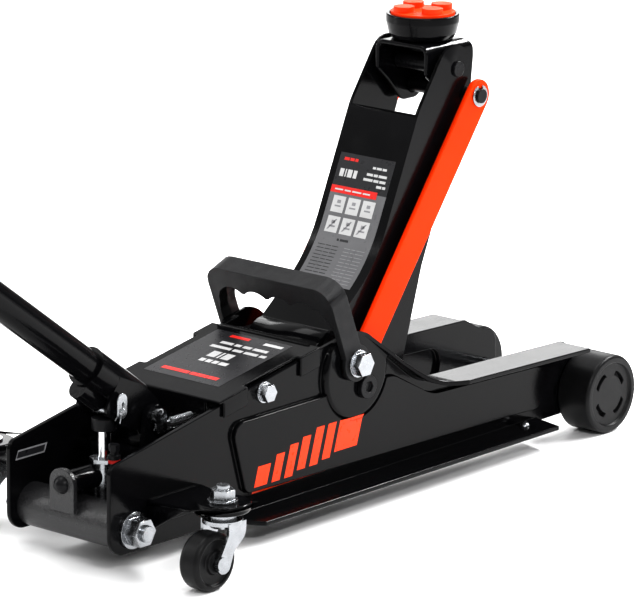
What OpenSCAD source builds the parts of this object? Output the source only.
// Low-profile hydraulic floor jack, shown raised. Millimetres, +X towards the lifting end,
// +Y to the left, +Z up. Lengths along X are measured from the rear edge of the side plates
// and the whole jack is then shifted so that the origin is at the bottom centre of its box.

/* [Side plates] */
// Outer half width over the side plates
frame_half_w = 51; // [46:1:62]
// Sheet thickness of the side plates
plate_t = 3.5; // [3:0.5:5]
// Height of the lower edge above the floor
plate_bottom_z = 15; // [12:1:18]
// Height of the upper edge at the rear
rear_top_z = 82; // [78:1:95]
// Height of the front end of the upper edge
front_top_z = 73.4; // [70:0.1:80]
// Distance from the rear edge to the front end of the upper flange
flange_front_x = 516; // [505:1:530]
// Outer half width over the flanges
flange_half_w = 79.5; // [72:0.5:82]
// How far the pressed panel stands out
panel_rise = 4; // [2:0.5:5]
// How far the pressed boss round the arm pivot stands out
boss_rise = 5; // [3:0.5:7]
// Radius of the pressed boss
boss_r = 36; // [32:1:38]

/* [Front wheels] */
// Distance from the rear edge to the front axle
axle_x = 541.3; // [535:0.1:600]
// Radius of the front wheels
wheel_r = 31.4; // [29:0.1:36]
// Outer half width over the front wheels
wheel_outer_y = 82.3; // [80:0.1:95]
// Radius of the front axle
axle_r = 6.5; // [5:0.5:9]

/* [Lifting arm] */
// Distance from the rear edge to the arm pivot
pivot_x = 255.8; // [250:0.1:270]
// Height of the arm pivot
pivot_z = 109.5; // [105:0.1:115]
// Length of the arm between its two pivots
arm_len = 244.3; // [200:0.1:250]
// Angle of the raised arm above the horizontal
arm_rest = 53.5; // [45:0.5:56]
// Outer half width of the arm
arm_half_w = 34; // [30:0.5:36]
// Sheet thickness of the arm
arm_t = 3; // [2.5:0.5:4]
// Radius of the arm pivot shaft
pivot_r = 8; // [7:0.5:9]
// Distance from the arm pivot to the heel pin that the ram pushes
heel_r = 68; // [60:1:70]
// Radius of the roller on the heel pin
heel_roller_r = 11; // [9:0.5:12]

/* [Levelling links] */
// Link pivot ahead of the arm pivot
link_dx = 15.2; // [14:0.1:18]
// Link pivot below the arm pivot
link_drop = 21.5; // [20:0.1:24]
// Width of the flat links
link_w = 25; // [20:0.5:25]
// Thickness of the flat links
link_t = 4; // [3.5:0.5:5]
// Radius of the link pins
link_pin_r = 5.5; // [4.5:0.5:6]

/* [Saddle] */
// Height of the saddle rim above the arm's upper pivot
saddle_rise = 39.3; // [36:0.1:50]
// Radius of the saddle rim
saddle_r = 28; // [24:0.5:34]
// Radius of the saddle stem
stem_r = 9; // [7:0.5:11]
// Height of the pad's lugs above the rim
lug_rise = 6; // [4:0.5:12]
// Outer half width of the saddle bracket
bracket_half_w = 25.5; // [22:0.5:28]

/* [Casters] */
// Distance from the rear edge to the caster swivels
caster_x = 46.6; // [40:0.1:60]
// Distance of the caster swivels from the middle
caster_y = 115.5; // [110:0.5:130]
// Radius of the caster wheels
caster_r = 21.2; // [19:0.1:23]
// Width of the caster wheels
caster_w = 18; // [14:0.5:20]
// Distance of the caster axle behind its swivel
caster_trail = 16; // [12:0.5:20]

/* [Power unit] */
// Height of the ram axis
ram_z = 48; // [46:0.5:50]
// Radius of the ram
ram_r = 13; // [11:0.5:14]
// Radius of the cylinder bore
bore_r = 16; // [15:0.5:17]
// Outer radius of the reservoir
tank_r = 26; // [24:0.5:27]
// Radius of the pump plunger
plunger_r = 5; // [4:0.5:6]
// Outer radius of the pump cylinder
pump_r = 8.5; // [8:0.5:9]

/* [Handle] */
// Angle of the handle above the horizontal
handle_tilt = 36.1; // [30:0.1:42]
// Outer radius of the lower handle tube
handle_r = 12; // [11:0.5:12.5]
// Outer radius of the upper handle tube
upper_r = 10.3; // [8:0.1:10.3]
// Length of the handle beyond the socket
handle_len = 606; // [480:1:800]
// Length of the grip
grip_len = 130; // [90:1:160]
// Radius of the grip
grip_r = 14; // [12:0.5:17]

/* [Carry handle] */
// Height of the carry handle above the arm pivot, along its lean
carry_h = 69; // [60:1:90]
// Outer half width of the carry handle
carry_half_w = 61.5; // [60.5:0.5:68]
// Rearward lean of the carry handle
carry_lean = 22; // [15:1:30]

/* [Hidden] */
$fn = 48;

run_gap = 0.05;      // radial clearance of a shaft that turns in its bore
free_gap = 0.3;      // clearance between faces that pass each other
bite = 0.01;         // depth by which the pieces of one solid run into each other
cut = 1;             // how far a cutter runs past the face that it cuts

paint = [0.05, 0.05, 0.055];
plastic = [0.16, 0.16, 0.17];
orange = [1, 0.38, 0.03];
zinc = [0.75, 0.76, 0.78];
chrome = [0.85, 0.86, 0.88];
rubber = [0.08, 0.08, 0.08];

top_slope = 0.189;                       // rise of the rear upper edge for each millimetre of length
hump = [pivot_x + 11.6, pivot_z + 23];   // corner of the upper edge over the pivot
dip = [pivot_x + 84, front_top_z + 5.2]; // corner of the upper edge ahead of the pivot
nose_r = 16;                             // radius of the plate's nose round the front axle
boss_c = [pivot_x + 6.2, pivot_z - 9.5]; // centre of the pressed boss
boss_y = frame_half_w + boss_rise;       // outer face of the boss
panel_y = frame_half_w + panel_rise;     // outer face of the panel
inner_y = frame_half_w - plate_t;        // inner face of the side plates
tie_x = 22.9;                            // rear tie tube
tie_z = 31.8;
tie_r = 16;
tie_rod_r = 6;
lug_y = 2;                               // bolt that holds the rear of the power unit
lug_z = 58;
rivet_x = axle_x - 81;                   // rivet in the lower flange near the front
rivet_y = frame_half_w + 8;
rivet_r = 3;
link_b = [pivot_x + link_dx, pivot_z - link_drop];
link_y = arm_half_w + 7.4;
link_pin_end = link_y + link_t / 2 + 3.3;   // end of the upper link pin, clear of the side plates
head_y = [pivot_x + arm_len * cos(arm_rest), pivot_z + arm_len * sin(arm_rest)];
heel_a = -107.75;                        // angle of the heel pin from the arm's own line
heel_world = [pivot_x + heel_r * cos(arm_rest + heel_a), pivot_z + heel_r * sin(arm_rest + heel_a)];
heel_pin_r = 6;
ram_gap = 1.3;                           // clearance at the ends of the stroke between ram and roller
block_x0 = 34;                           // rear end of the power unit
block_x1 = 98;                           // front end of the power unit's block
gland_x1 = 200;                          // front end of the gland nut
tank_x1 = 186;                           // front end of the reservoir
ram_front = heel_world.x - heel_roller_r - ram_gap;
ram_rear = ram_front - 108.8;
pump_x = 46;
pump_y = -2;
pump_z0 = 41;
pump_top_z = 71;
socket_x = 79;                           // axis that the handle socket rocks on
socket_z = 98;
roller_x = 47;                           // roller that presses the plunger's head
roller_z = 107;
roller_r = 5.2;
roller_pin_r = 3;
press_gap = 1.2;
spindle_x = 39.5;                        // release valve spindle
spindle_y = -18;
spindle_z0 = 41;
pivot_pin_r = 6;
rim_x = 29.5;                            // centre of the socket's open end
rim_z = 141.4;
socket_r = 15;
cheek_t = 2.5;
bracket_z = head_y.y + 19.6;             // upper face of the saddle bracket
rim_top_z = head_y.y + saddle_rise;
saddle_x = head_y.x - 0.9;
caster_axle_z = caster_r;
caster_plate_z = 61;
rear_end_x = rim_x - handle_len * cos(handle_tilt) - (grip_r + 0.5) * sin(handle_tilt);
front_end_x = axle_x + wheel_r;
origin_x = (rear_end_x + front_end_x) / 2;

// ---- helpers -------------------------------------------------------------------------------

function unit(v) = v / norm(v);
// one rounded corner of an outline: b is [x, y, radius] between its neighbours a and c
function corner(a, b, c, n = 6) =
    b[2] == 0 ? [[b[0], b[1]]] :
    let (u = unit([a[0] - b[0], a[1] - b[1]]),
         v = unit([c[0] - b[0], c[1] - b[1]]),
         half = acos(u * v) / 2,
         p = [b[0], b[1]] + u * b[2] / tan(half),
         q = [b[0], b[1]] + v * b[2] / tan(half),
         m = [b[0], b[1]] + unit(u + v) * b[2] / sin(half),
         start = atan2(p.y - m.y, p.x - m.x),
         turn = (atan2(q.y - m.y, q.x - m.x) - start + 540) % 360 - 180)
    [for (i = [0:n]) m + b[2] * [cos(start + turn * i / n), sin(start + turn * i / n)]];
// an outline from its corners, each [x, y, radius]
function outline(pts, n = 6) =
    let (k = len(pts))
    [for (i = [0:k - 1]) each corner(pts[(i + k - 1) % k], pts[i], pts[(i + 1) % k], n)];

// moves the jack so that the origin is under the middle of its box
module placed() {
    translate([-origin_x, 0, 0]) children();
}
// an outline in X and Z, thick along Y from y0 to y1
module slab(pts, y0, y1) {
    translate([0, y1, 0]) rotate([90, 0, 0]) linear_extrude(y1 - y0) polygon(pts);
}
// a cylinder along Y at (x, z)
module y_rod(r, x, z, y0, y1, sides = $fn) {
    translate([x, y1, z]) rotate([90, 0, 0]) cylinder(h = y1 - y0, r = r, $fn = sides);
}
// a cylinder along X at (y, z)
module x_rod(r, y, z, x0, x1) {
    translate([x0, y, z]) rotate([0, 90, 0]) cylinder(h = x1 - x0, r = r);
}
// an outline in Y and Z, thick along X from x0 to x1
module slab_x(pts, x0, x1) {
    translate([x0, 0, 0]) rotate([90, 0, 90]) linear_extrude(x1 - x0) polygon(pts);
}
// a hexagon bar along Y, given across its flats
module y_hex(flats, x, z, y0, y1) {
    y_rod(flats / sqrt(3), x, z, y0, y1, 6);
}
module both() {
    children();
    mirror([0, 1, 0]) children();
}
module side(s) {
    if (s > 0) children();
    if (s < 0) mirror([0, 1, 0]) children();
}
// the arm's own frame: X along the arm from its pivot, Z square to it on the rear side
module on_arm() {
    translate([pivot_x, 0, pivot_z]) rotate([0, -arm_rest, 0]) children();
}
// the socket's own frame: X down the handle from the open end, Z square to it
module on_socket() {
    translate([rim_x, 0, rim_z]) rotate([0, handle_tilt, 0]) children();
}

// ---- frame ---------------------------------------------------------------------------------

cover_bolt_x = 162.5;
cover_bolt_z = 104.5;
cover_bolt_r = 4;

web_corners = [
    [0, plate_bottom_z, 15], [axle_x + nose_r, plate_bottom_z, nose_r - 0.1],
    [axle_x + nose_r, wheel_r + 27, 12], [flange_front_x + 20, wheel_r + 32, 8],
    [flange_front_x + 2, front_top_z, 3], [dip.x, dip.y, 60], [hump.x, hump.y, 22], [0, rear_top_z, 8]];

// corners of the pressed panel, drawn in by d
function panel_corners(d) = [
    [140 + d, 33 + d, 6], [axle_x - 55 - d, 27 + d, 10], [axle_x - 49 - d, 61 - d, 12],
    [dip.x + 12, front_top_z - 8 - d, 40], [pivot_x + 50, pivot_z - 20 - d, 20], [124 + d, 88 - d, 10]];

module side_plate() {
    web = outline(web_corners, 10);
    difference() {
        union() {
            slab(web, inner_y, frame_half_w);
            slab(outline(panel_corners(0)), frame_half_w - bite, panel_y);
            intersection() {
                y_rod(boss_r, boss_c.x, boss_c.y, inner_y, boss_y);
                slab(web, inner_y - cut, boss_y + cut);
            }
            plate_flange(web);
            // lower flange
            translate([0, 0, plate_bottom_z])
                linear_extrude(plate_t)
                    polygon([[118, inner_y], [134, flange_half_w], [478, flange_half_w], [486, inner_y]]);
        }
        slab(outline(panel_corners(plate_t)), inner_y - cut, panel_y - plate_t);
        y_rod(boss_r - plate_t, boss_c.x, boss_c.y, inner_y - cut, boss_y - plate_t);
        y_rod(pivot_r, pivot_x, pivot_z, 0, boss_y + cut);
        y_rod(link_pin_r, link_b.x, link_b.y, 0, boss_y + cut);
        y_rod(tie_rod_r, tie_x, tie_z, 0, boss_y + cut);
        translate([rivet_x, rivet_y, 0]) cylinder(h = 40, r = rivet_r);
        y_rod(axle_r, axle_x, wheel_r, 0, boss_y + cut);
        y_rod(cover_bolt_r, cover_bolt_x, cover_bolt_z, 0, boss_y + cut);
    }
}
// the upper flange follows the upper edge from the hump to the front
module plate_flange(web) {
    intersection() {
        difference() {
            slab(web, inner_y, flange_half_w);
            translate([0, 0, -plate_t]) slab(web, inner_y - cut, flange_half_w + cut);
        }
        translate([0, 0, 60])
            linear_extrude(90)
                polygon([[hump.x - 16, inner_y], [hump.x + 2, boss_y], [pivot_x + 55, boss_y + 4],
                    [pivot_x + 85, boss_y + 14], [pivot_x + 110, flange_half_w],
                    [flange_front_x, flange_half_w], [flange_front_x, inner_y]]);
    }
}
module side_plate_right() {
    color(paint) placed() side(-1) side_plate();
}
module side_plate_left() {
    color(paint) placed() side(1) side_plate();
}

cover_x0 = 112;
cover_x1 = 222.7;
cover_t = 2.4;
cover_z0 = 107.6;    // upper face of the cover at its rear edge
cover_z1 = 127.2;    // upper face of the cover at its front edge
function cover_z(x) = cover_z0 + (cover_z1 - cover_z0) * (x - cover_x0) / (cover_x1 - cover_x0);
// a strip of cover between two distances, from drop below its upper face to that face
function cover_strip(x0, x1, drop) =
    [[x0, cover_z(x0) - drop], [x1, cover_z(x1) - drop], [x1, cover_z(x1)], [x0, cover_z(x0)]];

module top_cover() {
    tab_y = frame_half_w + free_gap;
    color(paint) placed() {
        difference() {
            union() {
                slab(cover_strip(cover_x0, cover_x1, cover_t), -tab_y - cover_t, tab_y + cover_t);
                // rear fold and turned-up front lip
                slab([[cover_x0, cover_z0], [cover_x0, cover_z0 - 12.6], [cover_x0 + cover_t, cover_z0 - 12.6],
                    [cover_x0 + cover_t, cover_z0]], 8 - inner_y, inner_y - 8);
                slab([[cover_x1 - cover_t, cover_z1 - 1], [cover_x1, cover_z1 - 1],
                    [cover_x1, cover_z1 + 1.5], [cover_x1 - cover_t, cover_z1 + 1.5]], 4 - inner_y, inner_y - 4);
                both() {
                    slab(cover_strip(cover_x0 + 5, cover_x0 + 31, 14), tab_y, tab_y + cover_t);
                    slab(cover_strip(cover_x1 - 22, cover_x1, 15), tab_y, tab_y + cover_t);
                    // ear that takes the cover bolt
                    slab(cover_strip(cover_bolt_x - 9, cover_bolt_x + 9, 19),
                        inner_y - cover_t - free_gap, inner_y - free_gap);
                }
            }
            both() y_rod(cover_bolt_r, cover_bolt_x, cover_bolt_z, inner_y - cover_t - cut, inner_y + 0.2);
            // notches that leave the plate's edge bare between the tabs
            both() translate([cover_x0 + 31, inner_y + 0.5, 90]) cube([cover_x1 - cover_x0 - 53, 10, 60]);
        }
    }
}
module cover_bolts() {
    color(zinc) placed() both() {
        y_rod(cover_bolt_r, cover_bolt_x, cover_bolt_z, inner_y - cover_t - 4, frame_half_w + 1);
        y_rod(8, cover_bolt_x, cover_bolt_z, frame_half_w, frame_half_w + 1.6);
        y_hex(12, cover_bolt_x, cover_bolt_z, frame_half_w + 1.6 - bite, frame_half_w + 7.5);
    }
}

module rear_tie_tube() {
    color(paint) placed() {
        difference() {
            union() {
                y_rod(tie_r, tie_x, tie_z, -inner_y, inner_y);
                // upright lug that carries the rear of the power unit
                translate([6, lug_y, 0]) rotate([90, 0, 90])
                    linear_extrude(4)
                        polygon(outline([[-12, 38, 0], [12, 38, 0], [12, 70, 11], [-12, 70, 11]]));
            }
            y_rod(tie_rod_r + 4, tie_x, tie_z, -inner_y - cut, inner_y + cut);
            x_rod(4, lug_y, lug_z, 0, 20);
        }
    }
}
module rear_tie_rod() {
    color(zinc) placed() y_rod(tie_rod_r, tie_x, tie_z, -frame_half_w - 16, frame_half_w + 16);
}
module flange_nut(x, z, y0, bore) {
    difference() {
        union() {
            y_rod(13.5, x, z, y0, y0 + 2.4);
            y_hex(19, x, z, y0 + 2.4 - bite, y0 + 13);
        }
        y_rod(bore, x, z, y0 - cut, y0 + 14);
    }
}
module rear_flange_nuts() {
    color(zinc) placed() both() flange_nut(tie_x, tie_z, frame_half_w, tie_rod_r);
}
module flange_rivets() {
    top = plate_bottom_z + plate_t;
    color(zinc) placed() both() translate([rivet_x, rivet_y, 0]) {
        translate([0, 0, plate_bottom_z]) cylinder(h = plate_t + bite, r = rivet_r);
        intersection() {
            translate([0, 0, top - 1.5]) sphere(r = 5);
            translate([-6, -6, top]) cube([12, 12, 6]);
        }
    }
}
module front_axle() {
    color(zinc) placed() y_rod(axle_r, axle_x, wheel_r, -wheel_outer_y + 8, wheel_outer_y - 8);
}
module axle_retainers() {
    color(paint) placed() both() difference() {
        y_rod(axle_r + 4, axle_x, wheel_r, wheel_outer_y - 11, wheel_outer_y - 8.5);
        y_rod(axle_r, axle_x, wheel_r, 0, wheel_outer_y);
    }
}

carry_y = boss_y + free_gap;        // inner face of the carry handle's legs
carry_t = carry_half_w - carry_y;
module arm_pivot_shaft() {
    head = carry_half_w;
    color(zinc) placed() {
        y_rod(pivot_r, pivot_x, pivot_z, -head, head);
        both() {
            y_rod(10.5, pivot_x, pivot_z, head - bite, head + 1.8);
            y_hex(16, pivot_x, pivot_z, head + 1.8 - bite, head + 8.5);
        }
    }
}
module pivot_jam_nuts() {
    color(paint) placed() both() difference() {
        y_hex(20, pivot_x, pivot_z, arm_half_w + 1, inner_y);
        y_rod(pivot_r, pivot_x, pivot_z, 0, boss_y);
    }
}
module link_pivot_pins() {
    color(paint) placed() both() {
        y_rod(link_pin_r, link_b.x, link_b.y, arm_half_w + 1.5, boss_y + bite);
        difference() {
            y_rod(9, link_b.x, link_b.y, boss_y, boss_y + 4);
            y_hex(8, link_b.x, link_b.y, boss_y + 1.5, boss_y + 5);
        }
    }
}

scallop_pitch = 23.5;
module carry_handle() {
    inner_half = carry_y;
    grip_z = carry_h - 19;
    color(plastic) placed()
        translate([pivot_x, 0, pivot_z])
            rotate([0, -carry_lean, 0])
                difference() {
                    union() {
                        // bail: a U of constant depth
                        translate([-10, 0, 0]) rotate([90, 0, 90])
                            linear_extrude(18)
                                difference() {
                                    polygon(outline([[-carry_half_w, 0, 0], [carry_half_w, 0, 0],
                                        [carry_half_w, carry_h, 15], [-carry_half_w, carry_h, 15]]));
                                    polygon(outline([[-inner_half, -cut, 0], [inner_half, -cut, 0],
                                        [inner_half, grip_z - 16, 20], [48, grip_z, 8],
                                        [-48, grip_z, 8], [-inner_half, grip_z - 16, 20]]));
                                    for (i = [-1.5:1:1.5])
                                        translate([i * scallop_pitch + 4, grip_z - 11]) circle(r = 15);
                                }
                        both() y_rod(14, 0, 0, carry_y, carry_half_w);
                    }
                    y_rod(pivot_r, 0, 0, -carry_half_w - cut, carry_half_w + cut);
                }
}

// ---- casters -------------------------------------------------------------------------------

caster_tilt = 8;
module caster_bracket() {
    x0 = 22;
    x1 = 96;
    root_z = 47;
    difference() {
        union() {
            translate([0, frame_half_w + 3 * sin(caster_tilt), root_z])
                rotate([caster_tilt, 0, 0])
                    linear_extrude(3)
                        polygon(outline([[x0 + 16, 0, 4], [caster_x - 20, caster_y - frame_half_w - 6, 12],
                            [caster_x - 20, caster_y - frame_half_w + 21, 19],
                            [caster_x + 20, caster_y - frame_half_w + 21, 19],
                            [caster_x + 20, caster_y - frame_half_w - 6, 12], [x1, 0, 4]]));
            translate([caster_x, caster_y, caster_plate_z - 6.4]) cylinder(h = 6.4, r = 20);
            // skirt folded down along the rear edge
            slab_x([[frame_half_w, 30], [frame_half_w + 6, 30], [caster_y - 26, 51], [caster_y - 12, 56],
                [frame_half_w, root_z + 2]], x0 + 16, x0 + 19);
            // flange on the side plate
            slab(outline([[x0 + 16, root_z - 16, 4], [x1 - 12, root_z - 16, 4],
                [x1, root_z + 2, 2], [x0 + 16, root_z + 2, 2]]), frame_half_w, frame_half_w + 3);
        }
        translate([caster_x, caster_y, 0]) cylinder(h = 80, r = 5);
    }
}
module caster_bracket_right() {
    color(paint) placed() side(-1) caster_bracket();
}
module caster_bracket_left() {
    color(paint) placed() side(1) caster_bracket();
}
module caster_kingpins() {
    color(zinc) placed() both() translate([caster_x, caster_y, 0]) {
        translate([0, 0, 43]) cylinder(h = 30, r = 5);
        translate([0, 0, caster_plate_z]) cylinder(h = 1.6, r = 11);
        translate([0, 0, caster_plate_z + 1.5]) cylinder(h = 7.5, r = 9, $fn = 6);
        translate([0, 0, 42.7]) cylinder(h = 3.1, r = 9);
    }
}
module caster_fork() {
    leg_y = caster_w / 2 + 2;
    leg_t = 2.4;
    top_z = 49;
    color(zinc) translate([caster_x, caster_y, 0]) difference() {
        union() {
            translate([0, 0, top_z - 3]) cylinder(h = 3, r = 14.5);
            translate([0, 0, top_z - 1]) cylinder(h = 6.2, r = 10);
            for (s = [-1, 1])
                slab(outline([[-caster_trail - 8, caster_axle_z - 8, 6], [-caster_trail + 8, caster_axle_z - 8, 6],
                    [-2, caster_axle_z + 8, 14], [10, 36, 12], [10, top_z - 1, 0], [-8, top_z - 1, 0], [-8, 40, 8]]),
                    s * (leg_y + leg_t / 2) - leg_t / 2, s * (leg_y + leg_t / 2) + leg_t / 2);
            // rivet that the wheel turns on
            y_rod(3, -caster_trail, caster_axle_z, -leg_y - leg_t - 1, leg_y + leg_t + 1);
            for (s = [-1, 1])
                y_rod(5, -caster_trail, caster_axle_z, s * (leg_y + leg_t + 0.7) - 0.8, s * (leg_y + leg_t + 0.7) + 0.8);
        }
        translate([0, 0, 43]) cylinder(h = 20, r = 5 + run_gap);
    }
}
module caster_fork_right() {
    placed() side(-1) caster_fork();
}
module caster_fork_left() {
    placed() side(1) caster_fork();
}
module caster_wheel() {
    h = caster_w / 2;
    color(rubber) translate([caster_x - caster_trail, caster_y, caster_axle_z])
        rotate([90, 0, 0])
            rotate_extrude()
                polygon(outline([[3 + run_gap, -h, 0], [8, -h, 0], [9, -h + 2.5, 0], [caster_r - 5, -h + 2.5, 0],
                    [caster_r - 4, -h, 0], [caster_r, -h, 4], [caster_r, h, 4], [caster_r - 4, h, 0],
                    [caster_r - 5, h - 2.5, 0], [9, h - 2.5, 0], [8, h, 0], [3 + run_gap, h, 0]], 4));
}
module caster_wheel_right() {
    placed() side(-1) caster_wheel();
}
module caster_wheel_left() {
    placed() side(1) caster_wheel();
}

// ---- front wheels --------------------------------------------------------------------------

module front_wheel() {
    y0 = frame_half_w + 1;
    y1 = wheel_outer_y;
    color(rubber) translate([axle_x, 0, wheel_r]) difference() {
        rotate([-90, 0, 0])
            rotate_extrude()
                polygon(outline([[axle_r + run_gap, y0, 0], [wheel_r, y0, 2], [wheel_r, y1, 3],
                    [wheel_r - 6, y1, 1], [wheel_r - 7, y1 - 2, 1], [0, y1 - 2, 0], [0, y1 - 5, 0],
                    [axle_r + 4.5, y1 - 5, 0], [axle_r + 4.5, y1 - 12, 0], [axle_r + run_gap, y1 - 12, 0]], 4));
        // four arc slots in the face
        for (a = [45:90:315])
            rotate([0, a, 0])
                intersection() {
                    difference() {
                        y_rod(19, 0, 0, y1 - 6, y1 + cut);
                        y_rod(15.5, 0, 0, y1 - 7, y1 + 2);
                    }
                    translate([-7, y1 - 8, 0]) cube([14, 12, 22]);
                }
    }
}
module front_wheel_right() {
    placed() side(-1) front_wheel();
}
module front_wheel_left() {
    placed() side(1) front_wheel();
}

// ---- power unit ----------------------------------------------------------------------------

module power_unit_block() {
    color(paint) placed() difference() {
        union() {
            translate([block_x0 - 6, -26, 20]) cube([block_x1 - block_x0 + 6, 52, 25]);
            translate([62, -26, 44]) cube([block_x1 - 62, 52, 29]);
            // boss round the release valve spindle
            translate([spindle_x, spindle_y, 38]) cylinder(h = 16, r = 6);
            // neck towards the rear lug
            x_rod(9, lug_y, lug_z, 13, 63);
            // ears that carry the socket's pivot
            for (y = [-22, 17])
                slab(outline([[66, 72, 0], [92, 72, 0], [88, socket_z + 8, 8], [70, socket_z + 8, 8]]), y, y + 5);
        }
        x_rod(bore_r + 3.5, 0, ram_z, block_x1 - 8, block_x1 + cut);
        y_rod(tie_r + 0.5, tie_x, tie_z, -30, 30);
        translate([pump_x, pump_y, pump_z0]) cylinder(h = 60, r = pump_r);
        translate([spindle_x, spindle_y, spindle_z0]) cylinder(h = 30, r = 3 + run_gap);
        x_rod(4, lug_y, lug_z, 12, 26);
        y_rod(pivot_pin_r + run_gap, socket_x, socket_z, -30, 30);
        y_rod(3, 86, 62, -30, 30);
        translate([84, 0, 67]) cylinder(h = 20, r = 5);
        y_rod(5, 75, 32, -27, -16);
    }
}
module rear_lug_stud() {
    color(paint) placed() {
        x_rod(4, lug_y, lug_z, 6 - bite, 26);
        intersection() {
            translate([8, lug_y, lug_z]) sphere(r = 7);
            translate([0, lug_y - 8, lug_z - 8]) cube([6, 16, 16]);
        }
    }
}
cyl_x0 = block_x1 - 8;
module ram_cylinder() {
    color(zinc) placed() difference() {
        x_rod(bore_r + 3.5, 0, ram_z, cyl_x0, gland_x1 - 12);
        x_rod(bore_r, 0, ram_z, cyl_x0 + 4, gland_x1);
    }
}
module reservoir_tank() {
    color(paint) placed() difference() {
        x_rod(tank_r, 0, ram_z, block_x1, tank_x1);
        x_rod(tank_r - 2, 0, ram_z, block_x1 + 2, tank_x1 - 2);
        x_rod(bore_r + 3.5, 0, ram_z, block_x1 - cut, tank_x1 + cut);
    }
}
module gland_nut() {
    color(paint) placed() difference() {
        union() {
            x_rod(bore_r + 6, 0, ram_z, tank_x1, gland_x1 - 4);
            x_rod(bore_r + 2, 0, ram_z, tank_x1, gland_x1);
        }
        x_rod(bore_r + 3.5, 0, ram_z, tank_x1 - cut, gland_x1 - 12);
        x_rod(ram_r + run_gap, 0, ram_z, tank_x1 - cut, gland_x1 + cut);
    }
}
module pump_cylinder() {
    color(zinc) placed() translate([pump_x, pump_y, 0]) difference() {
        union() {
            translate([0, 0, pump_z0]) cylinder(h = pump_top_z - pump_z0, r = pump_r);
            translate([0, 0, pump_top_z - 3]) cylinder(h = 3, r = pump_r + 2.5, $fn = 6);
        }
        translate([0, 0, pump_z0 + 4]) cylinder(h = 60, r = plunger_r + run_gap);
    }
}
module filler_plug() {
    color(plastic) placed() translate([84, 0, 67]) {
        cylinder(h = 6, r = 5);
        translate([0, 0, 6]) cylinder(h = 3.5, r = 7.5);
    }
}
module overload_plug() {
    color(zinc) placed() {
        y_rod(5, 75, 32, -26, -16);
        y_rod(7, 75, 32, -29, -26 + bite);
    }
}
module socket_pivot_pin() {
    color(zinc) placed() {
        y_rod(pivot_pin_r, socket_x, socket_z, -27, 25);
        // keeper plate that the return spring hooks on
        slab(outline([[socket_x - 5, socket_z - 12, 4.9], [socket_x + 6, socket_z - 12, 4.9],
            [socket_x + 6, socket_z + 6, 4.9], [socket_x - 5, socket_z + 6, 4.9]]), -27 - bite, -25.4);
    }
}
module spring_anchor_pin() {
    color(zinc) placed() y_rod(3, 86, 62, -42, 42);
}
module ram_piston() {
    color(chrome) placed() {
        x_rod(ram_r, 0, ram_z, ram_rear, ram_front);
        difference() {
            x_rod(bore_r - run_gap, 0, ram_z, ram_rear, ram_rear + 9);
            difference() {
                x_rod(bore_r + cut, 0, ram_z, ram_rear + 3, ram_rear + 6);
                x_rod(bore_r - 2.5, 0, ram_z, ram_rear, ram_rear + 9);
            }
        }
    }
}
module piston_seal() {
    color(rubber) placed() difference() {
        x_rod(bore_r - run_gap, 0, ram_z, ram_rear + 3, ram_rear + 6);
        x_rod(bore_r - 2.5, 0, ram_z, ram_rear, ram_rear + 9);
    }
}
head_top_z = roller_z - roller_r - press_gap;
module pump_plunger() {
    color(chrome) placed() translate([pump_x, pump_y, 60]) cylinder(h = head_top_z - 8 - 60, r = plunger_r);
}
module plunger_head() {
    color(paint) placed() translate([pump_x, pump_y, head_top_z - 9])
        difference() {
            cylinder(h = 9, r = 9);
            translate([0, 0, -cut]) cylinder(h = 2, r = plunger_r);
        }
}
module release_spindle() {
    color(paint) placed() translate([spindle_x, spindle_y, 0]) {
        translate([0, 0, spindle_z0]) cylinder(h = 85 - spindle_z0, r = 3);
        translate([0, 0, 68]) cylinder(h = 3, r = 4.6);
        translate([0, 0, 74]) cylinder(h = 3, r = 4.6);
        translate([0, 0, 80]) cylinder(h = 5, r = 4, $fn = 6);
    }
}
module release_seal() {
    color("darkred") placed() translate([spindle_x, spindle_y, 71]) difference() {
        cylinder(h = 3, r = 4.4);
        translate([0, 0, -cut]) cylinder(h = 5, r = 3);
    }
}

// ---- arm -----------------------------------------------------------------------------------

flange_corners = [
    [-20, 12, 8], [14, 12, 3], [79, -6, 115], [196, 20.5, 60], [arm_len + 16.7, 22.5, 18],
    [arm_len + 16.7, -15.5, 18], [arm_len - 13, -15.5, 6], [arm_len - 22, -27, 8], [104, -55, 30],
    [34, -80, 10], [-36, -80, 14], [-26, -24, 20]];
module lift_arm() {
    color(paint) placed() on_arm() difference() {
        union() {
            both() slab(outline(flange_corners), arm_half_w - arm_t, arm_half_w);
            // dished web between the flanges
            intersection() {
                difference() {
                    slab(outline(flange_corners), arm_t / 2 - arm_half_w, arm_half_w - arm_t / 2);
                    translate([0, 0, -arm_t]) slab(outline(flange_corners), -arm_half_w, arm_half_w);
                }
                translate([10, -arm_half_w, -30]) cube([184, 2 * arm_half_w, 70]);
            }
            y_rod(20, 0, 0, arm_t / 2 - arm_half_w, arm_half_w - arm_t / 2);
        }
        y_rod(10.5, 0, 0, -arm_half_w - cut, arm_half_w + cut);
        y_rod(link_pin_r + 0.5 + run_gap, arm_len, 0, -arm_half_w - cut, arm_half_w + cut);
        y_rod(heel_pin_r, heel_r * cos(heel_a), heel_r * sin(heel_a), -arm_half_w - cut, arm_half_w + cut);
    }
}
module arm_bushes() {
    color([0.7, 0.55, 0.3]) placed() both() difference() {
        y_rod(10.5, pivot_x, pivot_z, arm_half_w - 22, arm_half_w);
        y_rod(pivot_r + run_gap, pivot_x, pivot_z, 0, arm_half_w + cut);
    }
}
module heel_pin() {
    color(zinc) placed() {
        y_rod(heel_pin_r, heel_world.x, heel_world.y, -arm_half_w, arm_half_w);
        both() y_rod(3, heel_world.x, heel_world.y, arm_half_w - bite, arm_half_w + 7);
    }
}
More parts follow.
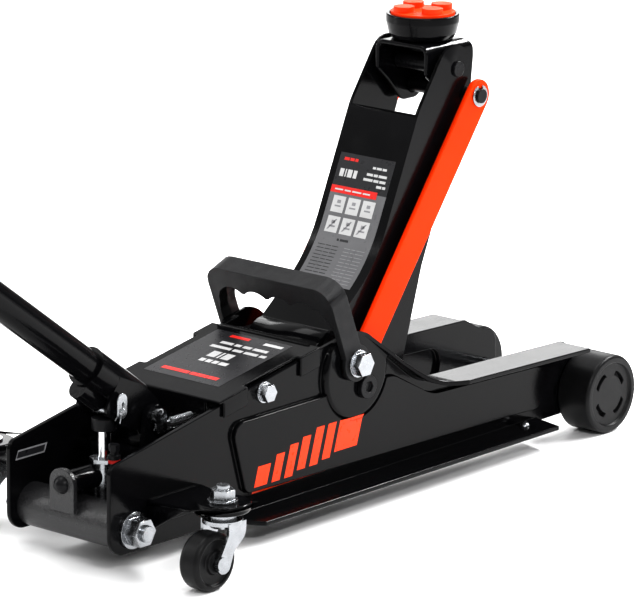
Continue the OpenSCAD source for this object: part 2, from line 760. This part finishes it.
module heel_roller() {
    color(zinc) placed() difference() {
        y_rod(heel_roller_r, heel_world.x, heel_world.y, -14, 14);
        y_rod(heel_pin_r + run_gap, heel_world.x, heel_world.y, -15, 15);
    }
}
module arm_return_springs() {
    color(zinc) placed() both() translate([0, arm_half_w + 3.6, 0]) {
        run = heel_world.x - 3.4 - 89.4;
        drop = heel_world.y - 62;
        translate([89.4, 0, 62])
            rotate([0, 90 - atan2(drop, run), 0])
                difference() {
                    cylinder(h = norm([run, drop]), r = 3);
                    translate([0, 0, -cut]) cylinder(h = norm([run, drop]) + 2, r = 2);
                }
    }
}
module link(s) {
    color(orange) placed() side(s)
        translate([link_b.x, 0, link_b.y])
            rotate([0, -arm_rest, 0])
                difference() {
                    slab(outline([[-link_w / 2, -link_w / 2, link_w / 2 - 0.1],
                        [arm_len + link_w / 2, -link_w / 2, link_w / 2 - 0.1],
                        [arm_len + link_w / 2, link_w / 2, link_w / 2 - 0.1],
                        [-link_w / 2, link_w / 2, link_w / 2 - 0.1]]), link_y - link_t / 2, link_y + link_t / 2);
                    y_rod(link_pin_r + run_gap, 0, 0, 0, boss_y);
                    y_rod(link_pin_r + run_gap, arm_len, 0, 0, boss_y);
                }
}
module link_right() {
    link(-1);
}
module link_left() {
    link(1);
}

// ---- saddle --------------------------------------------------------------------------------

module saddle_bracket() {
    a = head_y;
    b = [a.x + link_dx, a.y - link_drop];
    rear_x = a.x - 26.3;
    front_x = a.x + 30;
    w = bracket_half_w;
    t = 3.5;
    color(paint) placed() difference() {
        intersection() {
            slab(outline([[rear_x, bracket_z, 0], [rear_x, a.y - 3, 3], [a.x - 14, a.y - 14, 8],
                [b.x - 12, b.y - 11, 10], [b.x + 11, b.y - 11, 10], [front_x, a.y + 4, 12],
                [front_x, bracket_z, 11]]), -w, w);
            // rounded upper long edges
            translate([rear_x - cut, 0, 0]) rotate([90, 0, 90])
                linear_extrude(80)
                    polygon(outline([[-w, 0, 0], [w, 0, 0], [w, bracket_z, 7], [-w, bracket_z, 7]]));
        }
        // hollow, open to the rear and below
        translate([rear_x - cut, 0, 0]) rotate([90, 0, 90])
            linear_extrude(front_x - rear_x - t)
                polygon(outline([[t - w, 0, 0], [w - t, 0, 0], [w - t, bracket_z - t, 4],
                    [t - w, bracket_z - t, 4]]));
        y_rod(link_pin_r + 0.5, a.x, a.y, -w - cut, w + cut);
        y_rod(link_pin_r, b.x, b.y, -w - cut, w + cut);
        translate([saddle_x, 0, bracket_z - 10]) cylinder(h = 20, r = stem_r + run_gap);
    }
}
module saddle_pivot_pin() {
    color(paint) placed() y_rod(link_pin_r + 0.5, head_y.x, head_y.y, -arm_half_w - 2, arm_half_w + 2);
}
module upper_link_pin() {
    y1 = link_pin_end;
    color(paint) placed() difference() {
        y_rod(link_pin_r, head_y.x + link_dx, head_y.y - link_drop, -y1, y1);
        both() difference() {
            y_rod(9, head_y.x + link_dx, head_y.y - link_drop, y1 - 3.2, y1 - 1.8);
            y_rod(link_pin_r - 1, head_y.x + link_dx, head_y.y - link_drop, y1 - 5, y1);
        }
    }
}
module link_pin_clips() {
    y1 = link_pin_end;
    color(zinc) placed() both() difference() {
        y_rod(8.5, head_y.x + link_dx, head_y.y - link_drop, y1 - 3.2, y1 - 1.8);
        y_rod(link_pin_r - 1, head_y.x + link_dx, head_y.y - link_drop, y1 - 5, y1);
        translate([head_y.x + link_dx - 2.5, y1 - 5, head_y.y - link_drop]) cube([5, 5, 12]);
    }
}
module saddle_cup() {
    h = rim_top_z - bracket_z;
    color(paint) placed() translate([saddle_x, 0, bracket_z]) {
        rotate_extrude()
            polygon(outline([[0, -9, 0], [stem_r, -9, 0], [stem_r, 0.3, 0], [saddle_r - 5, 0.3, 3],
                [saddle_r - 2, 5, 2], [saddle_r, h - 6, 4], [saddle_r, h, 1], [saddle_r - 3, h, 1],
                [saddle_r - 3, h - 6, 0], [0, h - 6, 0]], 4));
        // clip that keeps the stem in the bracket
        translate([0, 0, -7.5]) cylinder(h = 1.6, r = stem_r + 2.5);
    }
}
pad_turn = 21;
module saddle_pad() {
    h = rim_top_z - bracket_z;
    pad_r = saddle_r - 3.5;
    lug_r = 8;
    color(orange) placed() translate([saddle_x, 0, bracket_z + h - 6]) {
        cylinder(h = 6 + 1.5, r = pad_r);
        for (a = [0:90:270])
            rotate([0, 0, a - 45 + pad_turn])
                translate([pad_r - lug_r - 0.5, 0, 6])
                    cylinder(h = lug_rise, r = lug_r);
    }
}

// ---- handle --------------------------------------------------------------------------------

module handle_socket() {
    lobe_n = -17;
    color(paint) placed() on_socket() difference() {
        union() {
            x_rod(socket_r, 0, 0, 0, 58);
            // keel folded down from the wrapped sheet
            translate([2, -cheek_t, lobe_n]) cube([40, 2 * cheek_t, 12]);
            x_rod(7.5, 0, lobe_n, 2, 26);
            // cheeks that take the roller pin and the pivot pin
            both() slab(outline([[22, lobe_n - 8, 6], [44, lobe_n - 8, 6], [76, -16, 9], [76, 6, 10],
                [50, 10, 4], [22, 4, 0]]), socket_r - cheek_t, socket_r);
        }
        x_rod(handle_r + run_gap, 0, 0, -cut, 80);
        socket_bore(socket_x, socket_z, pivot_pin_r);
        socket_bore(roller_x, roller_z, roller_pin_r);
        // room for the roller between the cheeks
        socket_bore(roller_x, roller_z, roller_r + 1.5, socket_r - cheek_t);
    }
}
// a bore along Y through the socket at a place given in the jack's frame
module socket_bore(x, z, r, half = 40) {
    dx = x - rim_x;
    dz = z - rim_z;
    y_rod(r, dx * cos(handle_tilt) - dz * sin(handle_tilt), dx * sin(handle_tilt) + dz * cos(handle_tilt),
        -half, half);
}
module pump_roller() {
    color(zinc) placed() difference() {
        y_rod(roller_r, roller_x, roller_z, -8, 8);
        y_rod(roller_pin_r + run_gap, roller_x, roller_z, -9, 9);
    }
}
module roller_pin() {
    color(zinc) placed() {
        y_rod(roller_pin_r, roller_x, roller_z, -socket_r - 6, socket_r + 4);
        // keeper plate on the near end
        slab(outline([[roller_x - 5, roller_z - 5, 4.9], [roller_x + 5, roller_z - 5, 4.9],
            [roller_x + 5, roller_z + 14, 4.9], [roller_x - 5, roller_z + 14, 4.9]]), -socket_r - 4.5, -socket_r - 3);
    }
}
tube_in = 50;            // length of handle inside the socket
joint_x = -300;          // end of the lower tube
module handle_lower_tube() {
    color(paint) placed() on_socket() difference() {
        x_rod(handle_r, 0, 0, joint_x, tube_in);
        x_rod(upper_r, 0, 0, joint_x - cut, tube_in + cut);
    }
}
module handle_upper_tube() {
    color(paint) placed() on_socket() difference() {
        x_rod(upper_r, 0, 0, 6 - handle_len, joint_x + 50);
        x_rod(upper_r - 1.6, 0, 0, 5 - handle_len, joint_x + 51);
    }
}
module handle_grip() {
    color(rubber) placed() on_socket() difference() {
        x_rod(grip_r, 0, 0, 6 - handle_len, 6 - handle_len + grip_len);
        x_rod(upper_r, 0, 0, 5 - handle_len, 7 - handle_len + grip_len);
    }
}
module handle_end_cap() {
    color(plastic) placed() on_socket() {
        x_rod(grip_r + 0.5, 0, 0, -handle_len, 6 - handle_len);
        x_rod(upper_r - 1.6, 0, 0, 6 - handle_len - bite, 20 - handle_len);
    }
}
module socket_spring() {
    spring_len = cover_x0 - socket_x - 6;
    color(zinc) placed() translate([socket_x + 6, -30, socket_z - 3]) rotate([0, 90, 0]) difference() {
        cylinder(h = spring_len, r = 2.6);
        translate([0, 0, -cut]) cylinder(h = spring_len + 2, r = 1.7);
    }
}

side_plate_right();
side_plate_left();
top_cover();
cover_bolts();
rear_tie_tube();
rear_tie_rod();
rear_flange_nuts();
flange_rivets();
front_axle();
axle_retainers();
arm_pivot_shaft();
pivot_jam_nuts();
link_pivot_pins();
carry_handle();
caster_bracket_right();
caster_bracket_left();
caster_kingpins();
power_unit_block();
rear_lug_stud();
ram_cylinder();
reservoir_tank();
gland_nut();
pump_cylinder();
filler_plug();
overload_plug();
socket_pivot_pin();
spring_anchor_pin();
ram_piston();
piston_seal();
pump_plunger();
plunger_head();
release_spindle();
release_seal();
lift_arm();
arm_bushes();
heel_pin();
heel_roller();
arm_return_springs();
link_right();
link_left();
saddle_bracket();
saddle_pivot_pin();
upper_link_pin();
link_pin_clips();
saddle_cup();
saddle_pad();
front_wheel_right();
front_wheel_left();
caster_fork_right();
caster_fork_left();
caster_wheel_right();
caster_wheel_left();
handle_socket();
pump_roller();
roller_pin();
handle_lower_tube();
handle_upper_tube();
handle_grip();
handle_end_cap();
socket_spring();
